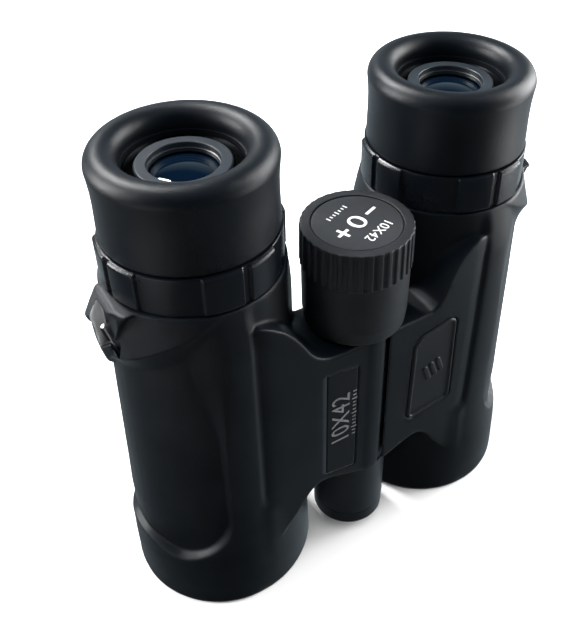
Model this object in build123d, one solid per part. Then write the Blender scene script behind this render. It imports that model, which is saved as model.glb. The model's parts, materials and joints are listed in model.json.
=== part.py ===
from build123d import *
import os
from math import atan2, cos, degrees, hypot, radians, sin

# Roof-prism binoculars, 10x42 size, standing on their objective ends with the eyepieces up.
# Millimetres. +Z runs from the objectives to the eyepieces, -Y is the side that is on top in use
# (the bridge and the focus knob), X runs across the two barrels. Z = 0 is the surface they stand on.
# "left" is the -X half and "right" is the +X half.

# ---------------------------------------------------------------- driving dimensions
HEIGHT = 134.0               # objective end to eyecup rim
EYE_SPACING = 71.3           # between the two barrel axes at rest
HINGE_SETBACK = 13.06        # hinge axis in front of the barrel axes
KNOB_R = 13.85               # focus knob over its ribs
OBJECTIVE_R = 25.9           # rubber round the objective end
RUN = 0.05                   # radial clearance of a running fit

BARREL_X = EYE_SPACING / 2
BARREL_Y = (HINGE_SETBACK + KNOB_R - OBJECTIVE_R) / 2    # puts the bounding box's middle at Y = 0
HINGE_Y = BARREL_Y - HINGE_SETBACK
ARM_LENGTH = hypot(BARREL_X, HINGE_SETBACK)
ARM_ANGLE = degrees(atan2(HINGE_SETBACK, BARREL_X))      # hinge axis to right barrel axis, above +X

# barrel housing
TUBE_R = 20.8                # housing outside, prism and eyepiece length
TUBE_BORE = 19.0
HEAD_R = 23.9                # housing outside round the objective
HEAD_BORE = 22.4
HOUSING_Z = (1.2, 103.2)     # metal tubes, lower and upper end
HEAD_TOP = 17.6              # top of the wide objective tube
HEAD_SEAT_Z = (13.0, 14.2)   # ledge that the objective cell butts against
BUMPER_TOP = 16.6            # rubber bumper round the objective end
EYE_SEAT_R = 17.5            # bore that holds the eyepiece tube
EYE_SEAT_Z = 96.5

# rubber armour
GRIP_R_LOW, GRIP_R_HIGH = 23.3, 21.9
SKIRT_R, SKIRT_Z = 23.4, 95.0
COLLAR_R = 21.4
LUG_TIP = 26.5               # strap lug reach from the barrel axis

# bridge arms and hinge
ARM_FRONT = HINGE_Y - 10.4   # front face of the rubber on both arms
ARM_SKIN = 1.5
ARM_BACK = HINGE_Y + 10.0
ARM_Z = (33.0, 79.0)
KNUCKLE_CORE_R = 9.9         # left half's knuckle, bare metal
KNUCKLE_R = 10.65            # the same with its rubber sleeve
KNUCKLE_Z = (29.6, 74.8)
KNUCKLE_GAP = 0.3            # between knuckles, and round the left knuckle
SLEEVE_ARC = (-180, -67)     # the left half's rubber round the knuckles, from angle to angle
LOWER_KNUCKLE_R, LOWER_KNUCKLE_Z = 10.3, (9.3, 29.2)
LOWER_WEB_Z = (21.5, 29.0)   # web from the lower knuckle to the right barrel
UPPER_KNUCKLE_R, UPPER_KNUCKLE_Z = 9.6, (75.1, 78.8)
UPPER_WEB_R, UPPER_WEB_ARC = 12.35, (-25, 43)      # joins the upper knuckle to the right arm
AXLE_R, AXLE_BORE = 5.0, 3.9
FOLD_IN, FOLD_OUT = 44.8, 13.8          # degrees from rest, right half towards and away

# focus mechanism
KNOB_Z = (79.9, 107.9)
RIB_Z = 97.6
RIB_COUNT = 36
FOCUS_Z = 39.0               # middle of the carriage groove and of the lens cells' arms
FOCUS_TRAVEL = 2.1           # each way
ARM_BAR = (5.0, 3.9)         # width and height of a lens cell's arm
GROOVE_R = (6.6, 8.6)
CAVITY_R, CAVITY_Z = 9.0, (31.5, 46.5)

# eyepiece
RING_Z, RING_R = (103.6, 113.4), 20.6
PAD_R = 21.35
EYE_TUBE_R = 15.6            # the eyecup slides on this
BEZEL_Z, BEZEL_R, EYE_LENS_R = 129.08, 10.48, 7.72
CUP_Z = (114.0, HEIGHT)
DIOPTER_SWING = 35.0
EYECUP_RISE = 8.0

PARTS = "parts"
BOTTOM = (Align.CENTER, Align.CENTER, Align.MIN)


# ---------------------------------------------------------------- helpers
def save(name, shape):
    """Write one node's solids to its STEP file."""
    solids = [solid for solid in shape.solids() if solid.volume > 1e-3]
    body = solids[0] if len(solids) == 1 else Compound(children=solids)
    body.label = name
    export_step(body, os.path.join(PARTS, name + ".step"))


def turned(outline, arc=360.0, start=0.0):
    """Solid of revolution about Z from (radius, height) corners."""
    face = make_face(Polyline(*[(r, 0, z) for r, z in outline], close=True))
    return Rot(0, 0, start) * revolve(face, Axis.Z, revolution_arc=arc)


def ring(outer, inner, low, high, arc=360.0, start=0.0):
    return turned([(inner, low), (outer, low), (outer, high), (inner, high)], arc, start)


def rod(radius, low, high):
    return Pos(0, 0, low) * Cylinder(radius, high - low, align=BOTTOM)


def block(x, y, z):
    """Box between the corner values of three (low, high) pairs."""
    centre = Pos(sum(x) / 2, sum(y) / 2, sum(z) / 2)
    return centre * Box(x[1] - x[0], y[1] - y[0], z[1] - z[0])


def plate(outline, front, back):
    """Prism along Y from (x, z) corners, from y = front to y = back."""
    face = make_face(Polyline(*[(x, front, z) for x, z in outline], close=True))
    return extrude(face, amount=back - front, dir=(0, 1, 0))


def barrel(shape, side):
    """Move a shape made about Z to a barrel axis; the left one is the mirror of the right."""
    placed = Pos(BARREL_X, BARREL_Y, 0) * shape
    return placed if side > 0 else mirror(placed, about=Plane.YZ)


def hinge(shape):
    return Pos(0, HINGE_Y, 0) * shape


def mirrored(shape, side):
    return shape if side > 0 else mirror(shape, about=Plane.YZ)


def lens(radius, low, high, sag_low, sag_high):
    """Round lens; a positive sag bulges that face outwards."""
    edge = [Line((0, 0, low - sag_low), (0, 0, high + sag_high))]
    edge.append(face_curve(radius, high, sag_high))
    edge.append(Line((radius, 0, high), (radius, 0, low)))
    edge.append(face_curve(radius, low, -sag_low))
    return revolve(make_face(Wire(edge)), Axis.Z)


def face_curve(radius, edge_z, sag):
    """Half of a lens face, from its centre to its rim."""
    middle = radius / 2
    return ThreePointArc((0, 0, edge_z + sag), (middle, 0, edge_z + sag * 0.75), (radius, 0, edge_z))


# ---------------------------------------------------------------- barrel housings and armour
def tube_shape():
    """Main barrel tube, about Z; the objective tube screws on to its lower end."""
    high = HOUSING_Z[1]
    return turned([
        (HEAD_BORE - 0.4, HEAD_SEAT_Z[1]), (HEAD_BORE - 0.4, HEAD_TOP), (HEAD_R, HEAD_TOP),
        (TUBE_R, HEAD_TOP + 3.5), (TUBE_R, high), (EYE_SEAT_R, high), (EYE_SEAT_R, EYE_SEAT_Z),
        (TUBE_BORE, EYE_SEAT_Z), (TUBE_BORE, HEAD_SEAT_Z[1])])


def objective_tube():
    """Wide tube round the objective cell, about Z."""
    low = HOUSING_Z[0]
    return turned([
        (HEAD_BORE, low), (HEAD_R, low), (HEAD_R, HEAD_TOP), (HEAD_BORE - 0.4, HEAD_TOP),
        (HEAD_BORE - 0.4, HEAD_SEAT_Z[1]), (20.6, HEAD_SEAT_Z[1]), (20.6, HEAD_SEAT_Z[0]),
        (HEAD_BORE, HEAD_SEAT_Z[0])])


def objective_bumper():
    """Rubber ring that the pair stands on, about Z."""
    return turned([
        (HEAD_BORE + 0.8, 0), (OBJECTIVE_R - 0.9, 0), (OBJECTIVE_R, 0.9), (OBJECTIVE_R - 0.2, 8),
        (25.2, BUMPER_TOP), (HEAD_R, BUMPER_TOP), (HEAD_R, HOUSING_Z[0]),
        (HEAD_BORE + 0.8, HOUSING_Z[0])])


def arm_core(z_top):
    """Metal arm from the hinge axis to the right barrel, hollow where the barrel's bore is."""
    core = block((0, BARREL_X - 9.0), (ARM_FRONT + ARM_SKIN, ARM_BACK), (ARM_Z[0] + 1.0, z_top))
    return core - barrel(rod(TUBE_BORE, 0, HEIGHT), 1)


def focus_slot():
    """Straight passage for a focus arm between the hinge cavity and the right barrel's bore."""
    width, height = ARM_BAR
    half = height / 2 + FOCUS_TRAVEL + 1.0
    bar = block((6.0, ARM_LENGTH - 12.0), (-width / 2 - 0.8, width / 2 + 0.8), (FOCUS_Z - half, FOCUS_Z + half))
    return hinge(Rot(0, 0, ARM_ANGLE) * bar)


def right_housing():
    swing = hinge(rod(KNUCKLE_R + KNUCKLE_GAP, 0, HEIGHT))
    start, end = UPPER_WEB_ARC
    web = Rot(0, 0, ARM_ANGLE) * block((8.0, ARM_LENGTH - TUBE_R + 0.5), (-3.5, 3.5), LOWER_WEB_Z)
    knuckles = rod(UPPER_KNUCKLE_R, *UPPER_KNUCKLE_Z) + rod(LOWER_KNUCKLE_R, *LOWER_KNUCKLE_Z) + web
    knuckles += ring(UPPER_WEB_R, AXLE_R, *UPPER_KNUCKLE_Z, end - start, start)
    shape = barrel(tube_shape(), 1) + (arm_core(UPPER_KNUCKLE_Z[1]) - swing) + hinge(knuckles)
    return shape - hinge(rod(AXLE_R + RUN, 0, HEIGHT)) - focus_slot()


def left_housing():
    shape = mirror(barrel(tube_shape(), 1) + arm_core(ARM_Z[1] - 1.0), about=Plane.YZ)
    shape += hinge(rod(KNUCKLE_CORE_R, *KNUCKLE_Z))
    shape -= hinge(rod(AXLE_R, 0, HEIGHT) + rod(CAVITY_R, *CAVITY_Z))
    shape -= mirror(focus_slot(), about=Plane.YZ)
    half = ARM_BAR[1] / 2 + FOCUS_TRAVEL + 1.0
    sweep_start = ARM_ANGLE - FOLD_OUT - 18.0
    window = ring(KNUCKLE_R + 1, CAVITY_R - 1, FOCUS_Z - half, FOCUS_Z + half,
                  FOLD_IN + FOLD_OUT + 36.0, sweep_start)
    shape -= hinge(window)
    shape -= hinge(rod(UPPER_KNUCKLE_R + KNUCKLE_GAP, KNUCKLE_Z[1], HEIGHT))
    # the right half's arm swings past, so nothing of this half crosses the hinge
    keep_clear = block((0, BARREL_X), (ARM_FRONT - 5, 30), (0, HEIGHT))
    return shape - (keep_clear - hinge(rod(KNUCKLE_CORE_R, 0, HEIGHT)))


def grip_skin():
    """Rubber sleeve of one barrel above its bumper, about Z."""
    sleeve = turned([
        (HEAD_R, BUMPER_TOP), (25.2, BUMPER_TOP), (25.0, 18.5), (GRIP_R_LOW, 24), (GRIP_R_LOW, 30),
        (GRIP_R_HIGH, 76), (COLLAR_R, 86), (COLLAR_R, HOUSING_Z[1]), (TUBE_R, HOUSING_Z[1]),
        (TUBE_R, HEAD_TOP + 3.5), (HEAD_R, HEAD_TOP)])
    skirt = turned([
        (20.0, 84), (COLLAR_R, 85), (SKIRT_R, SKIRT_Z - 2.0), (SKIRT_R, SKIRT_Z + 1.5),
        (COLLAR_R, HOUSING_Z[1]), (20.0, HOUSING_Z[1])], 150, -75)
    return sleeve + skirt


def strap_lug():
    """Hooded loop on the outer side of the right barrel, about Z, with a slot through it along Y."""
    loop = plate([
        (19.5, 103.0), (22.4, 103.0), (LUG_TIP - 1.2, 98.4), (LUG_TIP, 96.4), (LUG_TIP - 0.7, 95.0),
        (LUG_TIP - 0.6, 91.0), (LUG_TIP - 1.4, 86.0), (LUG_TIP - 3.3, 81.5), (19.5, 79.0)], -7.5, 3.2)
    slot = plate([
        (21.7, 84.6), (22.9, 84.2), (24.0, 86.6), (24.6, 91.0), (24.6, 94.4), (23.6, 95.8),
        (22.4, 95.4), (21.7, 93.0)], -10, 12)
    return loop - slot


def arm_skin():
    """Rubber over the front of the right arm, rising in a curve on to the barrel."""
    outline = [
        (2.0, 29.8), (6.2, 30.8), (13.5, 33.6), (16.1, 33.9), (18.9, 32.3), (21.3, 28.8), (23.8, 25.0),
        (33.0, 24.8), (33.0, 97.2), (28.0, 95.8), (25.0, 93.3), (22.8, 89.0), (21.5, 83.8), (20.0, 80.6),
        (18.0, 79.5), (2.0, ARM_Z[1])]
    return plate(outline, ARM_FRONT, BARREL_Y - 8.0)


def armour(side, housing):
    shape = barrel(grip_skin() + strap_lug(), 1) + arm_skin()
    shape -= hinge(rod(KNUCKLE_R + (KNUCKLE_GAP if side > 0 else 0), 0, HEIGHT))
    hollow = barrel(rod(TUBE_R, HEAD_TOP, HEIGHT), 1)
    hollow += block((0, BARREL_X - 9.0), (ARM_FRONT + ARM_SKIN, BARREL_Y), (ARM_Z[0] + 1.0, HEIGHT))
    shape = mirrored(shape - hollow, side)
    if side > 0:
        return shape - housing - badge_shape(0.4)
    start, end = SLEEVE_ARC
    shape += hinge(ring(KNUCKLE_R, KNUCKLE_CORE_R, KNUCKLE_Z[0], ARM_Z[1], end - start, start))
    return shape - label_shape(0.0) - housing


def badge_shape(proud):
    """Raised grip panel on the right arm's front."""
    outline = [(11.8, 41.8), (26.4, 43.7), (25.7, 74.4), (14.6, 72.2), (12.2, 69.4)]
    return plate(outline, ARM_FRONT - proud, ARM_FRONT + 0.8)


def label_shape(proud):
    """Scale plate let into the left arm's front."""
    return plate([(-14.4, 36.0), (-5.3, 34.6), (-5.3, 72.2), (-14.4, 73.6)], ARM_FRONT - proud, ARM_FRONT + 0.8)


# ---------------------------------------------------------------- optics of one barrel
def objective_parts():
    low, high = HEAD_SEAT_Z[0] - 10.0, HEAD_SEAT_Z[0]
    cell = ring(HEAD_BORE, 21.1, low, high) + ring(21.1, 19.6, high - 1.4, high)
    retainer = turned([(19.4, low + 0.4), (21.1, low), (21.1, low + 2.2), (19.9, low + 2.2)])
    crown = lens(21.0, low + 2.6, low + 5.0, 1.9, 1.3)
    flint = lens(21.0, low + 5.1, low + 8.5, -1.3, -0.4)
    return {"objective_tube": objective_tube(), "objective_bumper": objective_bumper(), "objective_cell": cell,
            "objective_retaining_ring": retainer, "objective_doublet": crown + flint}


def focus_parts():
    """Sliding focus lens and its cell; the cell's arm ends in a claw that fits the carriage groove."""
    half = 5.0
    cell = ring(TUBE_BORE - RUN, 15.2, FOCUS_Z - half, FOCUS_Z + half)
    cell += ring(15.2, 13.6, FOCUS_Z - half, FOCUS_Z - half + 1.0)
    cell = barrel(cell, 1)
    width, height = ARM_BAR
    bar = block((GROOVE_R[1] - 0.6, ARM_LENGTH - TUBE_BORE + 1.5), (-width / 2, width / 2),
                (FOCUS_Z - height / 2, FOCUS_Z + height / 2))
    claw = ring(GROOVE_R[1] - RUN, GROOVE_R[0] + RUN, FOCUS_Z - height / 2, FOCUS_Z + height / 2,
                76, -38)
    cell += hinge(Rot(0, 0, ARM_ANGLE) * (bar + claw))
    glass = lens(15.1, FOCUS_Z - 2.6, FOCUS_Z + 1.0, -0.8, 1.2)
    return cell, glass


def prism_parts():
    """Pechan pair with its cage and spring clip, about Z."""
    half = 11.0
    lower = [(-12.0, 57.4), (11.0, 57.4), (11.0, 60.0), (-2.0, 72.6), (-12.0, 66.0)]
    upper = [(-11.5, 67.2), (-1.4, 73.8), (12.0, 61.0), (13.0, 75.0), (4.0, 86.0), (-11.5, 86.0)]

    def prism(outline):
        face = make_face(Polyline(*[(-half, y, z) for y, z in outline], close=True))
        return extrude(face, amount=2 * half, dir=(1, 0, 0))

    cage = ring(TUBE_BORE, 11.6, 55.0, 57.2)
    for x in (-half - 1.7, half + 0.1):
        cheek = block((x, x + 1.6), (-11.5, 11.5), (57.2, 88.0))
        cage += cheek
    clip = block((-half - 1.7, half + 1.7), (-4.0, 2.0), (88.2, 88.8))
    clip += block((-3.0, 3.0), (-4.0, 2.0), (86.3, 88.2))
    screws = None
    for x in (-half - 0.9, half + 0.9):
        screw = Pos(x, -1.0, 0) * rod(1.3, 88.8, 90.0)
        screws = screw if screws is None else screws + screw
    return {"prism_cage": cage, "roof_prisms": prism(lower) + prism(upper), "prism_clip": clip,
            "prism_clip_screws": screws}


def eyepiece_parts():
    tube = turned([
        (EYE_SEAT_R, EYE_SEAT_Z), (EYE_SEAT_R, RING_Z[1]), (EYE_TUBE_R, RING_Z[1]), (EYE_TUBE_R, 126.5),
        (12.6, 126.5), (12.6, 128.3), (BEZEL_R, 128.3), (BEZEL_R, 126.6), (9.6, 126.6), (9.6, 121.0),
        (11.1, 121.0), (11.1, 112.4), (14.5, 112.4), (14.5, EYE_SEAT_Z)])
    slot_z = (RING_Z[0] + 4.0, RING_Z[0] + 7.0)
    tube -= ring(EYE_SEAT_R + 1, 13.5, *slot_z, 2 * DIOPTER_SWING + 14, 90 - DIOPTER_SWING - 7)
    for start in (60, 240):
        tube -= ring(EYE_TUBE_R + 1, EYE_TUBE_R - 0.8, 115.0, 116.6, 60, start)
    bezel = turned([(EYE_LENS_R, 127.4), (EYE_LENS_R, BEZEL_Z - 0.5), (EYE_LENS_R + 0.6, BEZEL_Z),
                    (BEZEL_R - 0.3, BEZEL_Z), (BEZEL_R, BEZEL_Z - 0.3), (BEZEL_R, 126.7), (8.6, 126.7),
                    (8.6, 127.4)])
    eye_lens = lens(9.5, 121.4, 125.6, 0.9, 0.9)
    middle = lens(11.0, 113.0, 118.6, 0.6, 1.6)
    spacer = ring(11.05, 9.6, 119.0, 120.9)
    return {"eyepiece_tube": tube, "eye_lens_bezel": bezel, "eyepiece_lenses": eye_lens + middle,
            "eyepiece_spacer": spacer}


def field_cell_parts():
    cell = ring(14.5 - RUN, 12.3, 99.0, 107.0) + ring(12.3, 11.2, 99.0, 100.0)
    return cell, lens(12.2, 101.4, 104.6, -0.5, 1.2)


def grip_ring(with_pin):
    """Ring under an eyecup with four pairs of raised pads; the dioptre ring also has its drive pin."""
    shape = ring(RING_R, EYE_SEAT_R + RUN, *RING_Z)
    for group in range(4):
        start = -93.3 - 25.6 + 90 * group
        shape += ring(PAD_R, RING_R - 0.5, RING_Z[0] + 0.5, RING_Z[1] - 0.6, 24.6, start)
        shape += ring(PAD_R, RING_R - 0.5, RING_Z[0] + 0.5, RING_Z[1] - 0.6, 21.5, start + 29.7)
    if with_pin:
        pin = Rot(90, 0, 0) * Cylinder(1.0, 3.4)
        shape += Pos(0, EYE_SEAT_R - 0.9, RING_Z[0] + 5.5) * pin
    return shape


def eyecup_parts():
    base, rim = CUP_Z
    detent = ring(17.2, EYE_TUBE_R + RUN, base, base + 2.0)
    core = ring(17.2, EYE_TUBE_R + RUN, base + 2.3, 128.0) + ring(17.2, 13.1, 127.0, 129.2)
    rubber = turned([
        (17.2, base), (20.25, base), (20.2, 117.0), (19.6, 122.0), (19.5, 126.0), (20.0, 129.0),
        (20.4, 131.2), (20.1, 132.4), (19.0, 133.4), (17.4, 133.95), (16.9, rim), (16.3, 133.9),
        (15.4, 133.0), (14.5, 131.0), (13.5, 129.2), (17.2, 129.2)])
    return detent, core, rubber


# ---------------------------------------------------------------- centre: axle, focus, knob
def centre_parts():
    axle = ring(AXLE_R, AXLE_BORE, 9.0, 82.0)
    slot_half = FOCUS_TRAVEL + 2.2
    axle -= block((-1.6, 1.6), (-8, 8), (FOCUS_Z - slot_half, FOCUS_Z + slot_half))
    washers = ring(8.5, AXLE_R + RUN, 78.9, 79.7) + ring(8.5, AXLE_R + RUN, 74.85, 75.05)
    nut = ring(8.0, AXLE_R, 79.8, 81.8)
    for angle in range(0, 180, 60):
        nut -= Rot(0, 0, angle) * block((-9.5, 9.5), (-0.9, 0.9), (80.8, 82.5))
    cap = turned([
        (2.55, 3.95), (9.2, 3.95), (10.2, 4.95), (10.2, 8.9), (AXLE_BORE, 8.9), (AXLE_BORE, 15.5), (2.55, 15.5)])
    return {"hinge_axle": axle, "hinge_washers": washers, "hinge_clamp_nut": nut, "hinge_end_cap": cap}


def focus_drive():
    screw = rod(2.0, 26.0, 103.0) + rod(AXLE_BORE - RUN, 76.0, 79.0)
    core = ring(AXLE_BORE - RUN, 2.0 + RUN, FOCUS_Z - 4.0, FOCUS_Z + 4.0)
    pins = Rot(90, 0, 0) * Cylinder(1.4, 2 * 6.3)
    pins -= Rot(90, 0, 0) * Cylinder(2.0, 2 * (AXLE_BORE - RUN - 0.6))
    nut = core + Pos(0, 0, FOCUS_Z) * pins
    groove = ARM_BAR[1] / 2 + RUN
    carriage = turned([
        (AXLE_R + RUN, FOCUS_Z - 5), (GROOVE_R[1], FOCUS_Z - 5), (GROOVE_R[1], FOCUS_Z - groove),
        (GROOVE_R[0], FOCUS_Z - groove), (GROOVE_R[0], FOCUS_Z + groove), (GROOVE_R[1], FOCUS_Z + groove),
        (GROOVE_R[1], FOCUS_Z + 5), (AXLE_R + RUN, FOCUS_Z + 5)])
    carriage -= Pos(0, 0, FOCUS_Z) * Rot(90, 0, 0) * Cylinder(1.4, 40)
    return {"focus_screw": screw, "focus_nut": nut, "focus_carriage": carriage}


def knob_parts():
    low, high = KNOB_Z
    smooth = KNOB_R - 0.4
    knob = turned([
        (0, 103.0), (0, high - 1.3), (10.9, high - 1.3), (10.9, high), (KNOB_R - 0.6, high),
        (KNOB_R, high - 0.6), (KNOB_R, RIB_Z), (smooth, RIB_Z - 0.4), (smooth, low + 5.0),
        (smooth - 0.3, low + 2.2), (smooth - 1.0, low + 0.6), (smooth - 1.7, low), (11.2, low), (11.2, 103.0)])
    knob += ring(4.4, 2.0, 92.0, 103.2)
    pitch = 360 / RIB_COUNT
    grooves = None
    for index in range(RIB_COUNT):
        groove = Rot(0, 0, index * pitch) * (Pos(KNOB_R + 0.35, 0, 0) * rod(0.75, RIB_Z + 0.2, high - 0.7))
        grooves = groove if grooves is None else grooves + groove
    knob -= grooves
    knob -= rod(1.5, 100.0, high)
    cap = turned([(0, high - 0.8), (0, high - 0.1), (10.6, high - 0.1), (10.84, high - 0.35),
                  (10.84, high - 1.3), (3.2, high - 1.3), (3.2, high - 0.8)])
    screw = rod(3.0, high - 1.3, high - 0.85) + rod(1.4, 103.1, high - 1.3)
    return {"focus_knob": knob, "focus_knob_cap": cap, "focus_knob_screw": screw}


# ---------------------------------------------------------------- build every node
def build():
    os.makedirs(PARTS, exist_ok=True)
    housings = {-1: left_housing(), 1: right_housing()}
    for side, name in ((-1, "left"), (1, "right")):
        save(name + "_housing", housings[side])
        save(name + "_rubber_armour", armour(side, housings[side]))
        for group in (objective_parts(), prism_parts(), eyepiece_parts()):
            for part, shape in group.items():
                save(name + "_" + part, barrel(shape, side))
        cell, glass = focus_parts()
        save(name + "_focus_cell", mirrored(cell, side))
        save(name + "_focus_lens", barrel(glass, side))
        cell, glass = field_cell_parts()
        save(name + "_field_lens_cell", barrel(cell, side))
        save(name + "_field_lens", barrel(glass, side))
        detent, core, rubber = eyecup_parts()
        save(name + "_eyecup_detent_ring", barrel(detent, side))
        save(name + "_eyecup_core", barrel(core, side))
        save(name + "_eyecup_rubber", barrel(rubber, side))
    save("diopter_ring", barrel(grip_ring(True), -1))
    save("right_eyepiece_ring", barrel(grip_ring(False), 1))
    save("scale_plate", label_shape(0.0))
    save("grip_badge", badge_shape(0.4))
    for group in (centre_parts(), focus_drive(), knob_parts()):
        for part, shape in group.items():
            save(part, hinge(shape))


build()
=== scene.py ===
import json
import math

import bmesh
import bpy
import numpy as np
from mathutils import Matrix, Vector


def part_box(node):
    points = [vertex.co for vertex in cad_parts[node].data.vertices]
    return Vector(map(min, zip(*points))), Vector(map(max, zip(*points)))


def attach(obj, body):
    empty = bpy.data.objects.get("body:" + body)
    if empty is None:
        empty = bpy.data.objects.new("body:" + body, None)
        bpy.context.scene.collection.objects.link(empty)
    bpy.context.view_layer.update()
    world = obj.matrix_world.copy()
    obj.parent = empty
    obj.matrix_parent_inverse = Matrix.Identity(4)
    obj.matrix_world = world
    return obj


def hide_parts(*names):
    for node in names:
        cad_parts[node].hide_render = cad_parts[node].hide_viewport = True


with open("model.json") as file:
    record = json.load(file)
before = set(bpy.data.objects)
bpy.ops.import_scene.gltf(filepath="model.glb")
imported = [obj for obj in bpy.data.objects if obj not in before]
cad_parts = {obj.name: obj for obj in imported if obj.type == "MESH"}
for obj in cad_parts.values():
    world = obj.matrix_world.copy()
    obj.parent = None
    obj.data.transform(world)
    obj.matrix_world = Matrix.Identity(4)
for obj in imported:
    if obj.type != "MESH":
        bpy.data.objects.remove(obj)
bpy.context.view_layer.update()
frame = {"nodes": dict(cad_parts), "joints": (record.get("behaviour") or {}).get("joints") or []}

import openvdb
from mathutils import Matrix, Vector

MM = 0.001
SIDES = ("left", "right")


# ---------------------------------------------------------------- places read from the frame, in millimetres
def node_box(node):
    low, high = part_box(node)
    return low / MM, high / MM


def heights(node):
    low, high = node_box(node)
    return low.z, high.z


def barrel_axis(side):
    low, high = node_box(side + "_eyepiece_tube")
    return (low.x + high.x) / 2, (low.y + high.y) / 2


FOLD = next(joint for joint in frame["joints"] if joint["name"] == "fold")
HINGE = (FOLD["pos_m"][0] / MM, FOLD["pos_m"][1] / MM)
BARREL = {side: barrel_axis(side) for side in SIDES}
BARREL_X, BARREL_Y = BARREL["right"]
ARM_FRONT = node_box("scale_plate")[0].y
RING_LOW, RING_HIGH = heights("diopter_ring")
CUP_LOW, CUP_HIGH = heights("left_eyecup_rubber")
KNOB_LOW, KNOB_HIGH = heights("focus_knob")


# ---------------------------------------------------------------- mesh helpers
def smooth(mesh, angle=None):
    mesh.polygons.foreach_set("use_smooth", [True] * len(mesh.polygons))
    if angle is not None:
        mesh.set_sharp_from_angle(angle=math.radians(angle))


def add_mesh(name, points, faces, material, sharp=None):
    """Mesh object from points in millimetres."""
    mesh = bpy.data.meshes.new(name)
    mesh.from_pydata((np.asarray(points, float) * MM).tolist(), [], faces)
    mesh.update()
    smooth(mesh, sharp)
    piece = bpy.data.objects.new(name, mesh)
    bpy.context.scene.collection.objects.link(piece)
    mesh.materials.append(material)
    return piece


NEARLY_STRAIGHT = 3.12       # radians between a corner's two sides, past which it needs no fillet
FILLET_SHARE = 0.49          # most of a side that one fillet may take


def rounded(corners, steps=7):
    """Closed outline from (radius, height, fillet) corners, with each fillet as an arc."""
    outline = []
    count = len(corners)
    for index, (r, z, fillet) in enumerate(corners):
        here = Vector((r, z))
        if fillet == 0:
            outline.append(here)
            continue
        before = Vector(corners[index - 1][:2]) - here
        after = Vector(corners[(index + 1) % count][:2]) - here
        opening = before.angle(after)
        if opening > NEARLY_STRAIGHT:
            continue
        reach = fillet / math.tan(opening / 2)
        reach = min(reach, before.length * FILLET_SHARE, after.length * FILLET_SHARE)
        radius = reach * math.tan(opening / 2)
        inwards = (before.normalized() + after.normalized()).normalized()
        middle = here + inwards * (radius / math.sin(opening / 2))
        start = here + before.normalized() * reach - middle
        end = here + after.normalized() * reach - middle
        turn = start.angle_signed(end)
        for step in range(steps + 1):
            spin = -turn * step / steps
            arm = Vector((start.x * math.cos(spin) - start.y * math.sin(spin),
                          start.x * math.sin(spin) + start.y * math.cos(spin)))
            outline.append(middle + arm)
    return [tuple(point) for point in outline]


def dense(outline, longest):
    """The same closed outline with no span longer than that."""
    result = []
    for index in range(len(outline)):
        a = np.array(outline[index])
        b = np.array(outline[(index + 1) % len(outline)])
        parts = max(1, math.ceil(float(np.linalg.norm(b - a)) / longest))
        result += [tuple(a + (b - a) * k / parts) for k in range(parts)]
    return result


def lathe(name, outline, centre, material, steps, sharp, push=None):
    """Solid of revolution of a closed outline; push(angle, radius, height) adds to the radius."""
    angles = np.arange(steps) * 2 * math.pi / steps
    rows = []
    for r, z in outline:
        radius = np.full(steps, float(r))
        if push is not None:
            radius = radius + push(angles, r, z)
        rows.append(np.stack([centre[0] + radius * np.cos(angles), centre[1] + radius * np.sin(angles),
                              np.full(steps, z)], axis=-1))
    points = np.concatenate(rows)
    faces = []
    for row in range(len(outline)):
        a = row * steps
        b = ((row + 1) % len(outline)) * steps
        for k in range(steps):
            n = (k + 1) % steps
            faces.append((a + k, a + n, b + n, b + k))
    piece = add_mesh(name, points, faces, material, sharp)
    fix_normals(piece)
    return piece


def fix_normals(piece):
    """Turn every face outwards."""
    mesh = piece.data
    work = bmesh.new()
    work.from_mesh(mesh)
    bmesh.ops.recalc_face_normals(work, faces=work.faces)
    work.to_mesh(mesh)
    work.free()


def add_marks(piece, marks, material, origin, along, across):
    """Raised print on a flat face: flat shapes from lettering() or bar(), in a frame on that face."""
    mesh = piece.data
    mesh.materials.append(material)
    origin, along, across = Vector(origin), Vector(along), Vector(across)
    out = along.cross(across)
    work = bmesh.new()
    work.from_mesh(mesh)
    for points, faces in marks:
        corners = [work.verts.new((origin + along * a + across * b + out * c) * MM) for a, b, c in points]
        for face in faces:
            work.faces.new([corners[index] for index in face]).material_index = len(mesh.materials) - 1
    work.to_mesh(mesh)
    work.free()


PRINT_HEIGHT = 0.05          # each way from the face that carries the print
FONT_DEPTH = 0.02            # before the figures are scaled to size


def lettering(text, length, height, centre):
    """Figures of that length and height, centred there, as points and faces in the print's own plane."""
    font = bpy.data.curves.new("figures", "FONT")
    font.body = text
    font.extrude = FONT_DEPTH
    font.resolution_u = 6
    carrier = bpy.data.objects.new("figures", font)
    bpy.context.scene.collection.objects.link(carrier)
    mesh = carrier.evaluated_get(bpy.context.evaluated_depsgraph_get()).to_mesh()
    points = np.array([corner.co for corner in mesh.vertices])
    faces = [tuple(face.vertices) for face in mesh.polygons]
    bpy.data.objects.remove(carrier)
    bpy.data.curves.remove(font)
    low, high = points.min(axis=0), points.max(axis=0)
    flat = (points - (low + high) / 2) * (length / (high[0] - low[0]), height / (high[1] - low[1]), 1)
    flat[:, :2] += centre
    flat[:, 2] = np.where(flat[:, 2] > 0, PRINT_HEIGHT, -PRINT_HEIGHT)
    return flat.tolist(), faces


def bar(width, height, centre):
    """Upright printed bar."""
    points = [(centre[0] + sx * width / 2, centre[1] + sy * height / 2, sz * PRINT_HEIGHT)
              for sz in (-1, 1) for sx, sy in ((-1, -1), (1, -1), (1, 1), (-1, 1))]
    faces = [(3, 2, 1, 0), (4, 5, 6, 7), (0, 1, 5, 4), (1, 2, 6, 5), (2, 3, 7, 6), (3, 0, 4, 7)]
    return points, faces


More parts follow.
